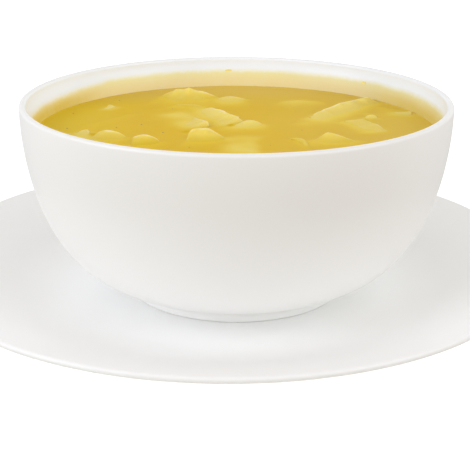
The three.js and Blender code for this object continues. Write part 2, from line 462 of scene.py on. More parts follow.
under = PLATE_WELL - PLATE_THICKNESS
ring_in, ring_out = PLATE_RING
plate_recess = (ring_in - 2 * PLATE_EDGE, under)
fold = (PLATE_FOLD_RADIUS, PLATE_WELL + PLATE_FOLD_RISE)
well_edge = (PLATE_WELL_RADIUS, PLATE_WELL)
well_corner = ((PLATE_WELL_RADIUS + PLATE_FOLD_RADIUS) / 2, PLATE_WELL)
under_fold = (PLATE_FOLD_RADIUS + PLATE_LIP, fold[1] - PLATE_THICKNESS)
under_start = (ring_out + 2 * PLATE_RING_HEIGHT, under)
under_corner = (under_start[0] + (under_fold[0] - under_start[0]) / 3, under)
plate_lip_centre = (plate_radius - PLATE_LIP, plate_height - PLATE_LIP)
print(f"plate {2 * plate_radius:.1f} mm across and {plate_height:.1f} mm high")

# %% Turn the plate
plate_profile = [
    (0, under),
    plate_recess,
    *bend(plate_recess, (ring_in, under), (ring_in, PLATE_EDGE)),
    *bend((ring_in, PLATE_EDGE), (ring_in, 0), (ring_in + PLATE_EDGE, 0)),
    (ring_out - PLATE_EDGE, 0),
    *bend((ring_out - PLATE_EDGE, 0), (ring_out, 0), (ring_out, PLATE_EDGE)),
    *bend((ring_out, PLATE_EDGE), (ring_out, PLATE_RING_HEIGHT), under_start, steps=8),
    *bend(under_start, under_corner, under_fold, steps=10),
    *arc(plate_lip_centre, PLATE_LIP, -90, 90),
    *bend(fold, well_corner, well_edge, steps=12),
    (0, PLATE_WELL),
]
plate_finish = porcelain("plate_porcelain", PLATE_WHITE, 0)
add_piece("plate_glazed", turn(plate_profile, 0), plate_finish, ["plate"])

# %% [markdown]
# ## The bowl
#
# The bowl's wall leaves the lip nearly upright and turns under ever faster, like the side of a
# rounded square. A superellipse draws that with two numbers, so the wall is a formula and needs no
# list of points. The wall thins out towards the lip, which is a full round, and a low ring under the
# belly lifts the bowl off the plate.

# %% The bowl's wall
BOWL_WALL = 4.2
BOWL_LIP = 2.4
BOWL_SHOULDER = 2.1
BOWL_TAPER = 9.5
BOWL_DEPTH = 65.3
BOWL_INNER_DEPTH = 60.3
BOWL_SQUARENESS = 4.41
BOWL_BELLY = 1.88
BOWL_JOINT_RADIUS = 41.0
WALL_STEPS = 40
lip_round = BOWL_LIP / 2
shoulder_z = lip_top - BOWL_SHOULDER
inner_radius = bowl_radius - BOWL_WALL


def belly(radius, depth, angle):
    """A point of the wall: angle 0 is at the lip and a quarter turn is on the axis."""
    out = radius * max(math.cos(angle), 0) ** (2 / BOWL_SQUARENESS)
    return Vector((out, shoulder_z - depth * math.sin(angle) ** (2 / BOWL_BELLY)))


def wall(radius, depth, last):
    """Points of the wall from the lip down to the last angle."""
    return [belly(radius, depth, last * i / WALL_STEPS) for i in range(WALL_STEPS + 1)]


def wall_angle(z):
    """The angle at which the inside of the wall has the height z."""
    return math.asin(((shoulder_z - z) / BOWL_INNER_DEPTH) ** (BOWL_BELLY / 2))


def taper(z):
    """How much the inside lies further out at the height z, where the wall thins towards the lip."""
    above = max(1 - (shoulder_z - z) / BOWL_TAPER, 0)
    return (BOWL_WALL - BOWL_LIP) * above**2


joint_angle = math.acos((BOWL_JOINT_RADIUS / bowl_radius) ** (BOWL_SQUARENESS / 2))
outer_wall = wall(bowl_radius, BOWL_DEPTH, joint_angle)[::-1]
inner_wall = wall(inner_radius, BOWL_INNER_DEPTH, math.pi / 2)
inner_wall[-1].x = 0
for point in inner_wall:
    point.x += taper(point.y)
print("bowl's wall:", len(outer_wall), "points outside,", len(inner_wall), "inside")

# %% [markdown]
# ## The film of soup in the bowl
#
# Inside, the glaze is painted a little cooler than outside: painted light that cancels the warm
# light the soup throws on the wall. The top of the thin lip is painted a little darker, painted shade
# where it catches the most light. Above the soup a film of it clings to the wall, where it washed up
# when the bowl was carried. The film is pale high up and deep gold low down at both ends. Its soft,
# uneven edge sinks at the left end, and the right half of the inside, film and all, is painted a
# little darker: painted shade. The film could be a thin shell of its own, but it is thinner than any
# mesh that would look right there, so it is colour in the glaze, by height over the soup.

# %% The bowl's lining
# The inside's cool tint is painted light, and the lip's grey is painted shade.
INSIDE_PAINTED_COOL = (0.835, 0.875, 0.945, 1)
LIP_PAINTED_SHADE = (0.82, 0.81, 0.79, 1)
FILM_LOW = (0.83, 0.70, 0.35, 1)
FILM_HIGH = (0.82, 0.75, 0.37, 1)
FILM_DEEP = (0.72, 0.54, 0.11, 1)
# Painted shade over the right half of the inside.
RIGHT_PAINTED_SHADE = (0.10, 0.10, 0.05, 1)
LIP_SHADE_BAND = (0.9, 0.1)
INSIDE_BELOW_SOUP = (4, 3)
INSIDE_SOFT = 1.5
FILM_HEIGHT = 6.3
FILM_UNEVEN = 1.2
FILM_SOFT = 1.4
FILM_ENDS = (48, 67)
FILM_SINK = 1.3
FILM_RIGHT_END = 0.8
FILM_LOW_TOP = 2
FILM_DEEP_TOP = 1.5
FILM_COVER = 0.88
FILM_PATCHES = 0.24
# Painted shade on the right half: its share on the wall, its extra share on the film, and its spread.
RIGHT_SHADE = 0.07
RIGHT_SHADE_ON_FILM = 0.08
RIGHT_SHADE_SPREAD = (5, 58)


def soup_film(shade, colour, inside, x, z):
    """Lays the film of soup over the colour of the inside, and paints shade over its right half."""
    rise = z - soup_level
    left_end = step(shade, axis_x - x, *FILM_ENDS)
    right_end = step(shade, x - axis_x, *FILM_ENDS)
    uneven = speckle(shade, size_mm=9, detail=3) + 0.5 * speckle(shade, size_mm=2) - 0.75
    edge = FILM_HEIGHT - FILM_SINK * left_end + FILM_UNEVEN * uneven
    film = (1 - step(shade, rise - edge, -FILM_SOFT, FILM_SOFT)) * inside
    tint = blend(shade, step(shade, rise, FILM_LOW_TOP, FILM_HEIGHT), FILM_LOW, FILM_HIGH)
    deep = left_end + FILM_RIGHT_END * right_end
    deep = deep * (1 - step(shade, rise, FILM_DEEP_TOP, FILM_HEIGHT))
    tint = blend(shade, deep, tint, FILM_DEEP)
    cover = film * (FILM_COVER + FILM_PATCHES * speckle(shade, size_mm=4))
    colour = blend(shade, cover, colour, tint)
    # Painted shade: the right half of the inside, film and all, is darkened.
    right_shade = inside * (RIGHT_SHADE + RIGHT_SHADE_ON_FILM * film) * step(shade, x - axis_x, *RIGHT_SHADE_SPREAD)
    return blend(shade, right_shade, colour, RIGHT_PAINTED_SHADE)


def bowl_lining(shade, colour, x, y, z):
    """Adds the lip's painted shade, the inside's cool painted light and the film of soup to the bowl's
    colour.
    """
    # Painted shade: the top of the lip is darkened where it catches the most light.
    lip = step(shade, z, lip_top - LIP_SHADE_BAND[0], lip_top - LIP_SHADE_BAND[1])
    colour = blend(shade, lip, colour, LIP_PAINTED_SHADE)
    radius = ((x - axis_x) ** 2 + y**2) ** 0.5
    lip_middle = bowl_radius - lip_round
    inside = step(shade, z, soup_level - INSIDE_BELOW_SOUP[0], soup_level - INSIDE_BELOW_SOUP[1])
    inside = inside * (1 - step(shade, radius, lip_middle - INSIDE_SOFT, lip_middle))
    # Painted light: the inside is tinted cool, against the warm light that the soup throws on the wall.
    colour = blend(shade, inside, colour, INSIDE_PAINTED_COOL)
    return soup_film(shade, colour, inside, x, z)


print("film of soup up to", FILM_HEIGHT, "mm over the soup")

# %% Turn the bowl
PORCELAIN = (0.90, 0.89, 0.87, 1)
BOWL_RING = (34.7, 39.3)
BOWL_RING_HEIGHT = 3.2
BOWL_RECESS = 2.6
BOWL_EDGE = 0.8

foot_in, foot_out = BOWL_RING
foot_z = PLATE_WELL
edge_z = foot_z + BOWL_EDGE
recess_z = foot_z + BOWL_RECESS
bowl_recess = (foot_in - 2 * BOWL_EDGE, recess_z)
bowl_profile = [
    (0, recess_z),
    bowl_recess,
    *bend(bowl_recess, (foot_in, recess_z), (foot_in, edge_z)),
    *bend((foot_in, edge_z), (foot_in, foot_z), (foot_in + BOWL_EDGE, foot_z)),
    (foot_out - BOWL_EDGE, foot_z),
    *bend((foot_out - BOWL_EDGE, foot_z), (foot_out, foot_z), (foot_out, edge_z)),
    *bend((foot_out, edge_z), (foot_out, foot_z + BOWL_RING_HEIGHT), outer_wall[0], steps=8),
    *outer_wall[1:],
    *arc((bowl_radius - lip_round, lip_top - lip_round), lip_round, 0, 180, steps=16),
    *inner_wall,
]
bowl_finish = porcelain("bowl_porcelain", PORCELAIN, foot_z, bowl_lining)
add_piece("bowl_glazed", turn(bowl_profile, axis_x), bowl_finish, ["bowl"])

# %% [markdown]
# ## Egg ribbons
#
# Broad egg ribbons soften in the broth and float at a slant: the far edge lifts clear and curls over,
# and the near edge hangs down into the soup. Each one is a bend through three points for its far
# edge, with a width and an angle of fall at both ends. A grid takes that shape point by point. Its far
# edge is torn into small pointed peaks, its ends droop and run on a little, and it spreads towards
# its first end. A cloth simulation could drape it, but it would never come to rest on the measured
# ribbon. Noise adds a slight wobble. Blender's noise vectors start from the clock unless they are
# given a seed, so a seed is set and every run makes the same ribbons. Two modifiers then give the
# grid body: Solidify its thickness, thinner at the rim, and Subdivision its soft edges.

# %% The ribbons' places, in millimetres from the bowl's axis and the soup's level
# Each has its far edge's start, middle and end, then its width and its fall in degrees at both ends.
RIBBONS = {
    "ribbon_01": ((-57, -6.4, -0.2), (-54.3, -5.8, 0.7), (-51.6, -5.4, 1.1), (10, 10), (8, 8)),
    "ribbon_02": ((-48.5, -10.5, 1.3), (-43.1, -10.9, 1.9), (-37.5, -12.4, -0.2), (11, 10), (8, 9)),
    "ribbon_03": ((-35.6, -17.8, 1.4), (-30.7, -17.2, 2.1), (-25.4, -18.4, -0.3), (10, 9), (9, 9)),
    "ribbon_04": ((-16.2, -12, 2.4), (-10, -12, 2.9), (-3.5, -14, -0.4), (12, 10), (9, 9)),
    "ribbon_05": ((-19.5, 25, -0.6), (-14, 13.5, 0.7), (-9.6, 3, 1.6), (11, 9), (6, 6)),
    "ribbon_06": ((-29.2, 53.6, -0.2), (-19.5, 53, 3), (-8, 50.4, 0.5), (14, 12), (6, 6)),
    "ribbon_07": ((-7.5, 47.6, 0), (-2.3, 47.9, 1), (3.4, 46.8, 0.2), (11, 10), (6, 6)),
    "ribbon_08": ((-22.5, 37.3, 0.1), (-18.1, 36, 0.3), (-12.5, 34.9, -0.3), (6, 5), (8, 8)),
    "ribbon_09": ((-9.5, 29.8, 0.6), (-3.7, 17.7, 2), (1.8, 8.6, 1), (11, 9), (7, 8)),
    "ribbon_10": ((2.4, 7.4, 0.6), (5.2, 6.9, 1.5), (8.8, 7.4, 0.1), (10, 9), (8, 8)),
    "ribbon_11": ((25, 14.5, -0.7), (37.3, 30, 1.8), (52, 45, 1.5), (12, 6), (6, 8)),
    "ribbon_12": ((47, 14, 0.4), (51, 5.5, 0.4), (54, -3.5, 0.3), (8.5, 8.5), (1, 1)),
    "ribbon_13": ((59.5, 26, -0.3), (63, 24.5, 0.5), (66, 24, 1), (7, 5), (8, 8)),
    "ribbon_14": ((31.4, -12.4, 1.8), (35.9, -14.6, 1.2), (42, -16.2, -0.3), (10, 9), (9, 9)),
    "ribbon_15": ((7, -20, -0.6), (7.5, -26, -0.6), (7.5, -33, -0.8), (10, 10), (0, 0)),
    "ribbon_16": ((-42, -36, 0.5), (-32, -35.6, 1.7), (-22, -39, 0), (11, 10), (8, 8)),
    "ribbon_17": ((-8, -45, 0), (3, -47, 1.4), (14, -43, 0.2), (10, 10), (8, 9)),
    "ribbon_18": ((27, -37, 0.4), (36, -36.6, 1.8), (45, -40, -0.1), (11, 10), (9, 8)),
    "ribbon_19": ((-26, -55, 0.2), (-17, -55.5, 1.2), (-9, -59, 0), (8, 7), (8, 8)),
    "shred_01": ((-51, 30, 0.4), (-49.3, 32.2, 0.8), (-47.6, 34.2, 1.2), (3.2, 2.4), (8, 8)),
    "shred_02": ((48, 17.5, 0.4), (50, 17.5, 0.9), (52, 18, 0.4), (2.2, 2), (8, 8)),
    "shred_03": ((20.4, -14.4, 0.4), (23, -17.8, 0.7), (25.4, -23.7, 0.2), (2, 1.8), (8, 8)),
}
print(len(RIBBONS), "ribbons and shreds")

# %% A ribbon's far edge
FRAY_SIZE = 5
FRAY_PEAK = 0.5
FRAY_SHARP = 2.2
FRAY_START = 28
FRAY_STRIDE = 3


def far_edge(ribbon, share):
    """A point of the far edge and the level direction in which the edge runs there."""
    start, over, end = (Vector(point) for point in ribbon[:3])
    pull = 2 * over - (start + end) / 2
    first, second = start.lerp(pull, share), pull.lerp(end, share)
    way = (second - first) * Vector((1, 1, 0))
    return first.lerp(second, share), way.normalized()


def edge_length(ribbon, steps=24):
    """The far edge's length in millimetres."""
    points = [far_edge(ribbon, i / steps)[0] for i in range(steps + 1)]
    return sum((b - a).length for a, b in zip(points, points[1:]))


def torn(ribbon, length, along):
    """How far the edge is torn out or in there: folded noise makes pointed peaks."""
    start_x, start_y = ribbon[0][:2]
    spot = Vector((along * length + FRAY_START, FRAY_STRIDE * start_y, start_x)) / FRAY_SIZE
    return FRAY_PEAK - FRAY_SHARP * abs(noise.noise(spot))


print("ribbon_04 is", round(edge_length(RIBBONS["ribbon_04"]), 1), "mm long")

# %% A point of a ribbon
CURL_SHARE = 0.8
CURL_LENGTH = 3.0
FRAY = 1.2
LUMP = 0.3
LUMP_LIFT = 0.2
STEEP = 0.1
FAN = 0.4
RIBBON_RIPPLE = 0.3
RIPPLE_LENGTH = 13
WOBBLE = 0.5
WOBBLE_SIZE = 7
END_CURL = 0.02
END_REACH = 0.8
END_SHARE = 0.06
NOISE_SEED = 2
noise.seed_set(NOISE_SEED)


def ribbon_point(ribbon, length, along, across):
    """A point of the ribbon's middle layer, in millimetres from the bowl's axis and the soup's level."""
    (width, width_end), (fall, fall_end) = ribbon[3:]
    reach = across * (width + (width_end - width) * along)
    slope = math.tan(math.radians(fall + (fall_end - fall) * along))
    steep = min(slope / STEEP, 1)
    longer = min(END_REACH / length, END_SHARE)
    point, way = far_edge(ribbon, along + longer * (2 * along - 1))
    lift = max(point.z, 0)
    edge = math.exp(-reach / CURL_LENGTH)
    fray = torn(ribbon, length, along)
    curl = CURL_SHARE * lift * (1 - edge)
    curl += (lift - curl) * math.exp(-min(along, 1 - along) / END_CURL)
    lump = LUMP * (fray + LUMP_LIFT) * lift * edge
    point += Vector((way.y, -way.x, 0)) * (reach + FRAY * fray * edge)
    point.z += lump - curl - slope * reach
    point -= way * FAN * steep * reach * (1 - along)
    wave = math.sin(2 * math.pi * length * along / RIPPLE_LENGTH + ribbon[0][0])
    point.z += RIBBON_RIPPLE * across * steep * wave
    return point + noise.noise_vector(point / WOBBLE_SIZE) * WOBBLE


middle_04 = ribbon_point(RIBBONS["ribbon_04"], edge_length(RIBBONS["ribbon_04"]), 0.5, 0)
print("the middle of ribbon_04's far edge stands", round(middle_04.z, 1), "mm over the soup")

# %% Bend a grid into a ribbon
RIBBON_THICKNESS = 0.8
RIBBON_RIM = 0.2
RIBBON_GRAIN = 0.7
FEWEST_ROWS = 4
FEWEST_COLUMNS = 3


def ribbon_form(ribbon, pale):
    """A grid bent into the ribbon. Its points keep their share across it, its paleness and its body."""
    length = edge_length(ribbon)
    width = sum(ribbon[3]) / 2
    rows = max(FEWEST_ROWS, round(length / RIBBON_GRAIN))
    columns = max(FEWEST_COLUMNS, round(width / RIBBON_GRAIN))
    form = bmesh.new()
    bmesh.ops.create_grid(form, x_segments=rows, y_segments=columns, size=0.5)
    across_layer = form.verts.layers.float.new("across")
    pale_layer = form.verts.layers.float.new("pale")
    weight_layer = form.verts.layers.deform.verify()
    for vert in form.verts:
        along, across = vert.co.x + 0.5, vert.co.y + 0.5
        rim = min(across * width, (1 - across) * width, along * length, (1 - along) * length)
        vert[across_layer] = across
        vert[pale_layer] = pale
        vert[weight_layer][0] = RIBBON_RIM + (1 - RIBBON_RIM) * min(rim / RIBBON_THICKNESS, 1)
        vert.co = (ribbon_point(ribbon, length, along, across) + Vector((axis_x, 0, soup_level))) * MM
    return form


print("a ribbon is", RIBBON_THICKNESS, "mm thick, and its rim has", RIBBON_RIM, "of that")

# %% [markdown]
# ## How a wet ribbon looks
#
# Cooked egg ribbon is pale yellow and lets some light through. Its thin lifted edge carries a painted
# cream highlight in places, while the part at the waterline takes the broth's gold. Height over the
# soup and the distance from the far edge drive that change, and each ribbon has its own paleness,
# because no two of them soak up the same amount of broth. Fine noise gives the pores of cooked egg,
# and subsurface scattering the soft, slightly glowing body.

# %% The ribbons' finish
RIBBON_WET = (0.70, 0.485, 0.03, 1)
RIBBON_YELLOW = (0.80, 0.63, 0.11, 1)
RIBBON_PALE = (0.83, 0.70, 0.225, 1)
# A painted highlight, in cream.
RIBBON_PAINTED_HIGHLIGHT = (0.88, 0.79, 0.52, 1)
LIFTED = (0.1, 2.2)
LIFTED_UNEVEN = 0.5
PALE_IF_WET = 0.7
PALE_IF_LIFTED = 0.3
# The painted highlight along the lifted edge: its share, width, unevenness, heights and patches.
HIGHLIGHT_SHARE = 0.8
HIGHLIGHT_WIDTH = 0.12
HIGHLIGHT_UNEVEN = 0.06
HIGHLIGHT_HEIGHT = (0.2, 1.0)
HIGHLIGHT_PATCHES = (0.35, 0.65)
PORE_STRENGTH = 0.35
PORE_DEPTH = 0.2
RIBBON_ROUGH = 0.3
RIBBON_ROUGHER = 0.16


def egg_ribbon():
    """Wet cooked egg: gold at the waterline, yellow or pale above it, a painted cream highlight along
    the lifted edge.
    """
    finish, shade = new_finish("egg_ribbon")
    across, pale = carried(shade, "across"), carried(shade, "pale")
    height = place_mm(shade, "Z")[0] - soup_level
    lifted = step(shade, height + LIFTED_UNEVEN * (speckle(shade, size_mm=5) - 0.5), *LIFTED)
    colour = blend(shade, lifted, RIBBON_WET, RIBBON_YELLOW)
    colour = blend(shade, pale * (PALE_IF_WET + PALE_IF_LIFTED * lifted), colour, RIBBON_PALE)
    # Painted highlight: cream along the lifted far edge, in patches.
    rim = 1 - step(shade, across + HIGHLIGHT_UNEVEN * (speckle(shade, size_mm=2) - 0.5), 0.0, HIGHLIGHT_WIDTH)
    patches = step(shade, speckle(shade, size_mm=6), *HIGHLIGHT_PATCHES)
    rim = rim * step(shade, height, *HIGHLIGHT_HEIGHT) * patches
    colour = blend(shade, rim * HIGHLIGHT_SHARE, colour, RIBBON_PAINTED_HIGHLIGHT)
    pores = bumps(shade, speckle(shade, size_mm=1.1, detail=3), PORE_STRENGTH, PORE_DEPTH)
    rough = RIBBON_ROUGH + RIBBON_ROUGHER * speckle(shade, size_mm=2.5)
    surface(
        shade, Base_Color=colour, Roughness=rough, Normal=pores, Specular_IOR_Level=0.03,
        Subsurface_Weight=0.35, Subsurface_Radius=(1, 0.7, 0.25), Subsurface_Scale=1.5 * MM,
    )
    return finish


ribbon_finish = egg_ribbon()
print("ribbons' finish:", len(ribbon_finish.node_tree.nodes), "nodes")

# %% Make every ribbon
PALE = {
    "ribbon_01": 1.0, "ribbon_02": 0.3, "ribbon_03": 0.0, "ribbon_05": 0.6,
    "ribbon_06": 0.2, "ribbon_07": 0.5, "ribbon_09": 0.6, "ribbon_10": 0.7,
    "ribbon_11": 0.65, "ribbon_12": 0.5, "ribbon_13": 0.9, "ribbon_14": 0.25,
    "ribbon_15": 0.8, "shred_01": 1.0, "shred_02": 0.8, "shred_03": 0.2,
}
PALE_ELSE = 0.15


def add_ribbon(node):
    """The ribbon that stands for this node, with a body and soft edges."""
    form = ribbon_form(RIBBONS[node], PALE.get(node, PALE_ELSE))
    piece = add_piece("egg_" + node, form, ribbon_finish, [node])
    piece.vertex_groups.new(name="body")
    body = piece.modifiers.new("body", "SOLIDIFY")
    body.thickness = RIBBON_THICKNESS * MM
    body.offset = 0
    body.vertex_group = "body"
    soft = piece.modifiers.new("soft_edges", "SUBSURF")
    soft.levels = 1
    soft.render_levels = 1
    return piece


ribbons = [add_ribbon(node) for node in RIBBONS]

# %% [markdown]
# ## The soup
#
# Broth with egg in it is cloudy: a ribbon just under the surface shows pale and clear, and a few
# millimetres down it is gone. A real liquid shader would have to be traced through and can't be
# baked, so the surface itself carries the answer. Over each of its points a line is dropped from
# above onto the ribbons, and the depth at which it meets one becomes a `veil` value that the finish
# turns into colour. Ribbons that lie wholly under the surface are only sounded in this way. A short
# list of places paints small spots of deep amber beside lifted ribbons: painted shade under them.

# %% Ribbons that lie wholly under the surface
# Each has the same numbers as a ribbon above, and its paleness last.
SUNK = [
    ((15, 39, -0.8), (24, 45.5, -0.1), (34, 41, -0.8), (10, 10), (5, 5), 0.9),
    ((-56, 1, -1.6), (-45, 15, -0.8), (-34, 27, -2.0), (3, 2), (0, 0), 0.2),
    ((-25, 33, -1.1), (-19, 22, -0.7), (-14, 9, -0.9), (8, 8), (0, 0), 0.1),
    ((53, 36, -0.8), (58.5, 32, -0.6), (64, 26, -1.0), (5, 4), (6, 6), 0.3),
    ((-24, 44, -0.7), (-10, 43, -0.4), (4, 42, -0.7), (10, 8), (5, 5), 0.4),
    ((33, 15, -0.9), (40, 24, -0.4), (50, 25, -0.8), (3, 3), (4, 4), 0.3),
    ((22, 8, -0.6), (28, 14, -0.3), (34, 17, -0.5), (8, 6), (3, 3), 0.7),
    ((60, 22, -0.4), (64, 21, -0.3), (67, 21, -0.4), (5, 5), (3, 3), 0.7),
    ((-4, -12.5, -0.4), (2, -11, -0.3), (8, -11.5, -0.5), (10, 10), (2, 2), 0.8),
    ((-2, 15, -0.1), (1, 12.5, 0), (3.5, 10, -0.1), (5, 5), (4, 4), 1.0),
    ((-18.5, -5, -0.3), (-16.5, -4.6, -0.2), (-14, -5, -0.3), (9, 9), (3, 3), 0.6),
]
HANG = 1.25


def sounding_tree():
    """All ribbons, shown and sunk, ready to be sounded, and the paleness of each of their faces."""
    everything = bmesh.new()
    view = bpy.context.evaluated_depsgraph_get()
    paleness = []
    for piece in ribbons:
        everything.from_mesh(piece.evaluated_get(view).to_mesh())
        pale = piece.data.attributes["pale"].data[0].value
        paleness += [pale] * (len(everything.faces) - len(paleness))
    sheets = [(sheet[:5], sheet[5]) for sheet in SUNK]
    for node, ribbon in RIBBONS.items():
        hanging = (*ribbon[:3], [HANG * width for width in ribbon[3]], ribbon[4])
        sheets.append((hanging, PALE.get(node, PALE_ELSE)))
    for ribbon, pale in sheets:
        sheet = bpy.data.meshes.new("sunk")
        form = ribbon_form(ribbon, pale)
        form.to_mesh(sheet)
        form.free()
        everything.from_mesh(sheet)
        bpy.data.meshes.remove(sheet)
        paleness += [pale] * (len(everything.faces) - len(paleness))
    tree = BVHTree.FromBMesh(everything)
    everything.free()
    return tree, paleness


ribbon_tree, paleness = sounding_tree()
print(len(SUNK), "sunk ribbons,", len(paleness), "faces to sound")

# %% Sound the soup at a point
# Spots of painted shade beside lifted ribbons, in millimetres from the bowl's axis.
AMBER_SHADE_SPOTS = [(-11.1, 2.5), (-2.1, 4.9), (-17.6, -4.7), (-50, -8.7)]
AMBER_SHADE_SIZE = (1.5, 2.4)
SIGHT = 0.95
REACH = 7.0
DOWN = Vector((0, 0, -1))


def sound(point):
    """How clearly a ribbon shows from below, how pale it is, and how much amber shade is painted at the
    point.
    """
    start = point + Vector((0, 0, REACH * MM))
    hit, _, face, _ = ribbon_tree.ray_cast(start, DOWN, 2 * REACH * MM)
    veil, pale, amber_shade = 0.0, 0.0, 0.0
    if hit is not None:
        depth = max(point.z - hit.z, 0) / MM
        veil, pale = math.exp(-depth / SIGHT), paleness[face]
    for x, y in AMBER_SHADE_SPOTS:
        across = (point.x / MM - axis_x - x) / AMBER_SHADE_SIZE[0]
        deep = (point.y / MM - y) / AMBER_SHADE_SIZE[1]
        amber_shade = max(amber_shade, math.exp(-(across**2 + deep**2) ** 2))
    return veil, veil**2 * pale, amber_shade


print(len(AMBER_SHADE_SPOTS), "clear pools")

# %% The soup's surface
SOUP_GRID = 240
INTO_WALL = 0.4
WALL_RISE = 0.15
RISE_REACH = 1.0
RIBBON_RISE = 0.25
SWELL = 0.12
SWELL_SIZE = 26
NEARLY_ZERO = 1e-9

level_angle = wall_angle(soup_level)
brim = belly(inner_radius, BOWL_INNER_DEPTH, level_angle).x


def round_off(x, y):
    """Moves a point of a square onto the disc in it, so that square rings become round ones."""
    if abs(x) < NEARLY_ZERO and abs(y) < NEARLY_ZERO:
        return 0.0, 0.0
    if abs(x) >= abs(y):
        angle = math.pi / 4 * y / x
        return x * math.cos(angle), x * math.sin(angle)
    angle = math.pi / 4 * x / y
    return y * math.sin(angle), y * math.cos(angle)


def surface_height(x, y):
    """The soup's height over its level: a slow swell, and a rise where it wets the wall."""
    climb = WALL_RISE * math.exp(-max(brim - math.hypot(x, y), 0) / RISE_REACH)
    swell = SWELL * noise.noise(Vector((x, y, 0)) / SWELL_SIZE)
    return climb + swell


def soup_surface():
    """A round grid that carries what was sounded at each point, and climbs a little at the ribbons."""
    form = bmesh.new()
    bmesh.ops.create_grid(form, x_segments=SOUP_GRID, y_segments=SOUP_GRID, size=1)
    veil_layer = form.verts.layers.float.new("veil")
    pale_layer = form.verts.layers.float.new("pale")
    amber_shade_layer = form.verts.layers.float.new("amber_shade")
    for vert in form.verts:
        x, y = round_off(vert.co.x, vert.co.y)
        x, y = x * (brim + INTO_WALL), y * (brim + INTO_WALL)
        vert.co = Vector((x + axis_x, y, soup_level + surface_height(x, y))) * MM
        vert[veil_layer], vert[pale_layer], vert[amber_shade_layer] = sound(vert.co)
        nearest = ribbon_tree.find_nearest(vert.co, REACH * MM)[3]
        if nearest is not None:
            vert.co.z += RIBBON_RISE * MM * math.exp(-nearest / MM)
    return form, [veil_layer, pale_layer, amber_shade_layer]


soup_form, soup_layers = soup_surface()
print("soup surface:", len(soup_form.verts), "points, brim at", round(brim, 2), "mm")

# %% Soften the veil and close the soup below
SOFTENING = (24, 24, 3)
SIDE_STEPS = 10
FLOOR_GAP = 0.3
SOUP_WELD = 0.01


def soften(form, layer, rounds):
    """Lets each point take on half of its neighbours' mean, as light spreads in cloudy broth."""
    values = np.array([vert[layer] for vert in form.verts]).reshape(SOUP_GRID + 1, SOUP_GRID + 1)
    for _ in range(rounds):
        wide = np.pad(values, 1, mode="edge")
        near = wide[:-2, 1:-1] + wide[2:, 1:-1] + wide[1:-1, :-2] + wide[1:-1, 2:]
        values = (values + near / 4) / 2
    for vert, value in zip(form.verts, values.flat):
        vert[layer] = value


def close_below(form):
    """Draws the surface's rim down along the inside of the bowl and shuts it on the axis."""
    rim = [edge for edge in form.edges if edge.is_boundary]
    for edge in rim:
        edge.smooth = False
    for i in range(1, SIDE_STEPS + 1):
        angle = level_angle + (math.pi / 2 - level_angle) * i / SIDE_STEPS
        ring = belly(inner_radius - FLOOR_GAP, BOWL_INNER_DEPTH - FLOOR_GAP, angle)
        drawn = bmesh.ops.extrude_edge_only(form, edges=rim)["geom"]
        rim = [item for item in drawn if isinstance(item, bmesh.types.BMEdge)]
        for vert in (item for item in drawn if isinstance(item, bmesh.types.BMVert)):
            out = Vector((vert.co.x - axis_x * MM, vert.co.y)).normalized() * ring.x
            vert.co = Vector((out.x + axis_x, out.y, ring.y)) * MM
    bmesh.ops.remove_doubles(form, verts=form.verts, dist=SOUP_WELD * MM)
    bmesh.ops.recalc_face_normals(form, faces=form.faces)


for layer, rounds in zip(soup_layers, SOFTENING):
    soften(soup_form, layer, rounds)
close_below(soup_form)
print("soup closed below:", len(soup_form.faces), "faces")

# %% [markdown]
# ## How the broth looks
#
# The broth is a warm, slightly cloudy gold. It isn't one colour: stirred-in egg lightens the middle in
# soft patches, both sides are lighter too, and the right is duller. The back is painted browner, a
# painted reflection of the wall behind it. The veil mixes in the ribbons' paler yellow, and the
# painted shade beside lifted ribbons a deep amber. An absorbing volume could give the gold its depth,
# but it can't be baked, so blended colours stand in for it. The specular level is nearly nil,
# because at a low angle even a little would mirror the white room and wash out the gold.

# %% The broth's finish
BROTH_GOLD = (0.675, 0.44, 0.03, 1)
BROTH_LIGHT = (0.715, 0.47, 0.032, 1)
# Deep amber, painted shade beside lifted ribbons.
AMBER_PAINTED_SHADE = (0.64, 0.41, 0.0, 1)
BROTH_DULL = (0.68, 0.462, 0.06, 1)
BROTH_LEFT = (0.75, 0.535, 0.042, 1)
BROTH_RIGHT = (0.74, 0.53, 0.085, 1)
# A painted reflection of the wall behind, over the back of the soup.
BROTH_PAINTED_REFLECTION = (0.68, 0.48, 0.095, 1)
VEIL_YELLOW = (0.76, 0.535, 0.04, 1)
VEIL_PALE = (0.80, 0.65, 0.15, 1)
EGG_MIDDLE = (-3, 14)
EGG_REACH = 26
EGG_FADE = 2.7
EGG_IN_MIDDLE = 0.3
EGG_LESS_BEHIND = 0.004
EGG_STEP = (0.2, 0.9)
BIG_PATCHES = 0.6
SMALL_PATCHES = 0.4
PATCH_STRETCH = (0.6, 1, 1)
DULL_SHARE = 0.9
DULL_FROM = (-10, 50)
LEFT_FROM = (25, 70)
RIGHT_FROM = (40, 70)
REFLECTION_FROM = (30, 68)
VEIL_SHARE = 0.85
VEIL_UNEVEN = 0.25
BROTH_ROUGH = 0.1
BROTH_ROUGHER = 0.08
RIPPLE_STRENGTH = 0.1
RIPPLE_DEPTH = 0.2


def egg_cloud(shade, x, y):
    """How much stirred-in egg clouds the broth, from 0 to 1: most of all in the middle."""
    off_middle = (x - EGG_MIDDLE[0]) ** 2 + (y - EGG_MIDDLE[1]) ** 2
    middle = EGG_FADE ** (0 - off_middle * EGG_REACH**-2)
    patches = BIG_PATCHES * speckle(shade, size_mm=24)
    patches = patches + SMALL_PATCHES * speckle(shade, size_mm=7, detail=3, stretch=PATCH_STRETCH)
    return step(shade, patches - EGG_LESS_BEHIND * y + EGG_IN_MIDDLE * middle, *EGG_STEP)


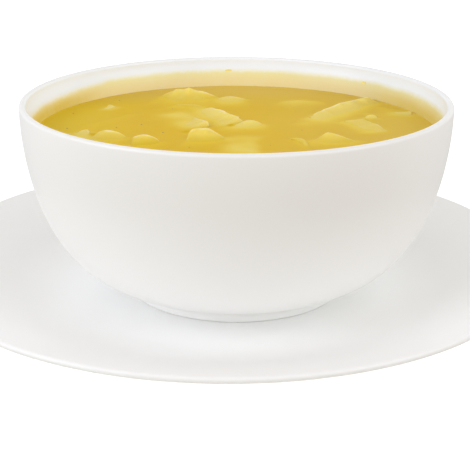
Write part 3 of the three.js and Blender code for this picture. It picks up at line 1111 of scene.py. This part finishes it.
def golden_broth():
    """Cloudy gold broth through which the ribbons show."""
    finish, shade = new_finish("golden_broth")
    x, y = place_mm(shade, "XY")
    colour = blend(shade, egg_cloud(shade, x, y), BROTH_GOLD, BROTH_LIGHT)
    colour = blend(shade, DULL_SHARE * step(shade, x - axis_x, *DULL_FROM), colour, BROTH_DULL)
    colour = blend(shade, step(shade, axis_x - x, *LEFT_FROM), colour, BROTH_LEFT)
    colour = blend(shade, step(shade, x - axis_x, *RIGHT_FROM), colour, BROTH_RIGHT)
    # Painted reflection: the back is tinted browner, as the wall behind would mirror in it.
    colour = blend(shade, step(shade, y, *REFLECTION_FROM), colour, BROTH_PAINTED_REFLECTION)
    veil = carried(shade, "veil") * (VEIL_SHARE + VEIL_UNEVEN * speckle(shade, size_mm=3))
    colour = blend(shade, veil, colour, VEIL_YELLOW)
    colour = blend(shade, carried(shade, "pale"), colour, VEIL_PALE)
    # Painted shade: deep amber beside lifted ribbons.
    colour = blend(shade, carried(shade, "amber_shade"), colour, AMBER_PAINTED_SHADE)
    ripples = bumps(shade, speckle(shade, size_mm=6), RIPPLE_STRENGTH, RIPPLE_DEPTH)
    rough = BROTH_ROUGH + BROTH_ROUGHER * speckle(shade, size_mm=9)
    surface(
        shade, Base_Color=colour, Roughness=rough, Normal=ripples, Specular_IOR_Level=0.004, IOR=1.35,
        Subsurface_Weight=0.2, Subsurface_Radius=(1, 0.6, 0.15), Subsurface_Scale=2 * MM,
    )
    return finish


soup = add_piece("golden_soup", soup_form, golden_broth(), ["soup"])

# %% [markdown]
# ## Pepper in the soup
#
# A homely broth has ground pepper and crumbs of herb in it. They are tiny, so each is a ball of few
# faces, pressed flat and turned at random. A particle system could strew them, but a few are where
# the photograph has them, and a list keeps them there. The random numbers start from a fixed seed,
# so that every run strews the others alike.

# %% Strew the pepper
SPECKS = [
    (-60.7, 37.2), (-61.1, 22.5), (-45.9, 44.1), (-24.4, 30.5), (-34.3, 5.6),
    (-42.9, 1.2), (-60.3, -0.2), (27.3, 16.2), (6.5, 7.1),
]
SPECK_SIZE = (0.22, 0.4)
SPECK_STRETCH = (0.9, 1.6)
SPECK_FLATNESS = 0.45
SPECK_TURN = 6
HIDDEN_SPECKS = 12
HIDDEN_REACH = 62
HIDDEN_SPREAD = (0.1, 1)
PEPPER_DARK = (0.33, 0.23, 0.05, 1)
PEPPER_LIGHT = (0.45, 0.32, 0.07, 1)
strewn = random.Random(7)
soup_tree = BVHTree.FromObject(soup, bpy.context.evaluated_depsgraph_get())


def pepper_finish():
    """Ground pepper in two browns."""
    finish, shade = new_finish("ground_pepper")
    colour = blend(shade, speckle(shade, size_mm=0.4), PEPPER_DARK, PEPPER_LIGHT)
    surface(shade, Base_Color=colour, Roughness=0.45)
    return finish


def pepper_places():
    """The specks that the photograph shows, and others in the front half, which the lip hides there."""
    places = list(SPECKS)
    for _ in range(HIDDEN_SPECKS):
        way = strewn.uniform(math.pi, 2 * math.pi)
        far = HIDDEN_REACH * math.sqrt(strewn.uniform(*HIDDEN_SPREAD))
        places.append((far * math.cos(way), far * math.sin(way)))
    return places


def pepper_form():
    """Small flat balls on the soup's surface."""
    form = bmesh.new()
    for x, y in pepper_places():
        top = soup_tree.ray_cast(Vector((x + axis_x, y, lip_top)) * MM, DOWN)[0]
        size = strewn.uniform(*SPECK_SIZE) * MM
        shape = Matrix.Translation(top) @ Matrix.Rotation(strewn.uniform(0, SPECK_TURN), 4, "Z")
        long_side = size * strewn.uniform(*SPECK_STRETCH)
        shape @= Matrix.Diagonal((long_side, size, size * SPECK_FLATNESS, 1))
        bmesh.ops.create_icosphere(form, subdivisions=1, radius=1, matrix=shape)
    return form


add_piece("pepper_specks", pepper_form(), pepper_finish())

# %% [markdown]
# ## Scraps on the wall
#
# The soup that lapped up the wall has left a few scraps of egg at the film's edge. Each is a small
# ball pressed flat against the wall and made a little ragged with noise. They have a plain yellow of
# their own, because a ribbon's finish goes by its height over the soup.

# %% Stick the scraps to the wall
# Each scrap has its angle round the bowl in degrees and its height over the soup in millimetres.
SCRAPS = [(92.7, 6.3), (45.9, 5.6), (205, 5.8), (262, 5.2), (318, 6.0)]
SCRAP_SIZE = 1.0
SCRAP_WIDTH = (0.9, 1.5)
SCRAP_HEIGHT = (0.6, 1)
SCRAP_FLATNESS = 0.15
SCRAP_RAGGED = 0.04
SCRAP_GRAIN = 0.6
SCRAP_YELLOW = (0.88, 0.77, 0.30, 1)


def scrap_finish():
    """Plain moist yellow."""
    finish, shade = new_finish("egg_scrap")
    surface(shade, Base_Color=SCRAP_YELLOW, Roughness=0.4, Specular_IOR_Level=0.03)
    return finish


def scrap_form():
    """Flat ragged bits on the inside of the wall."""
    form = bmesh.new()
    size = SCRAP_SIZE * MM
    for angle, height in SCRAPS:
        z = soup_level + height
        out = belly(inner_radius, BOWL_INNER_DEPTH, wall_angle(z)).x + taper(z)
        shape = Matrix.Translation(Vector((axis_x, 0, z)) * MM)
        shape @= Matrix.Rotation(math.radians(angle), 4, "Z")
        shape @= Matrix.Translation(Vector((out, 0, 0)) * MM)
        wide = size * strewn.uniform(*SCRAP_WIDTH)
        tall = size * strewn.uniform(*SCRAP_HEIGHT)
        shape @= Matrix.Diagonal((size * SCRAP_FLATNESS, wide, tall, 1))
        made = bmesh.ops.create_icosphere(form, subdivisions=2, radius=1, matrix=shape)
        for vert in made["verts"]:
            vert.co += noise.noise_vector(vert.co / (SCRAP_GRAIN * MM)) * SCRAP_RAGGED * MM
    return form


add_piece("wall_scraps", scrap_form(), scrap_finish())
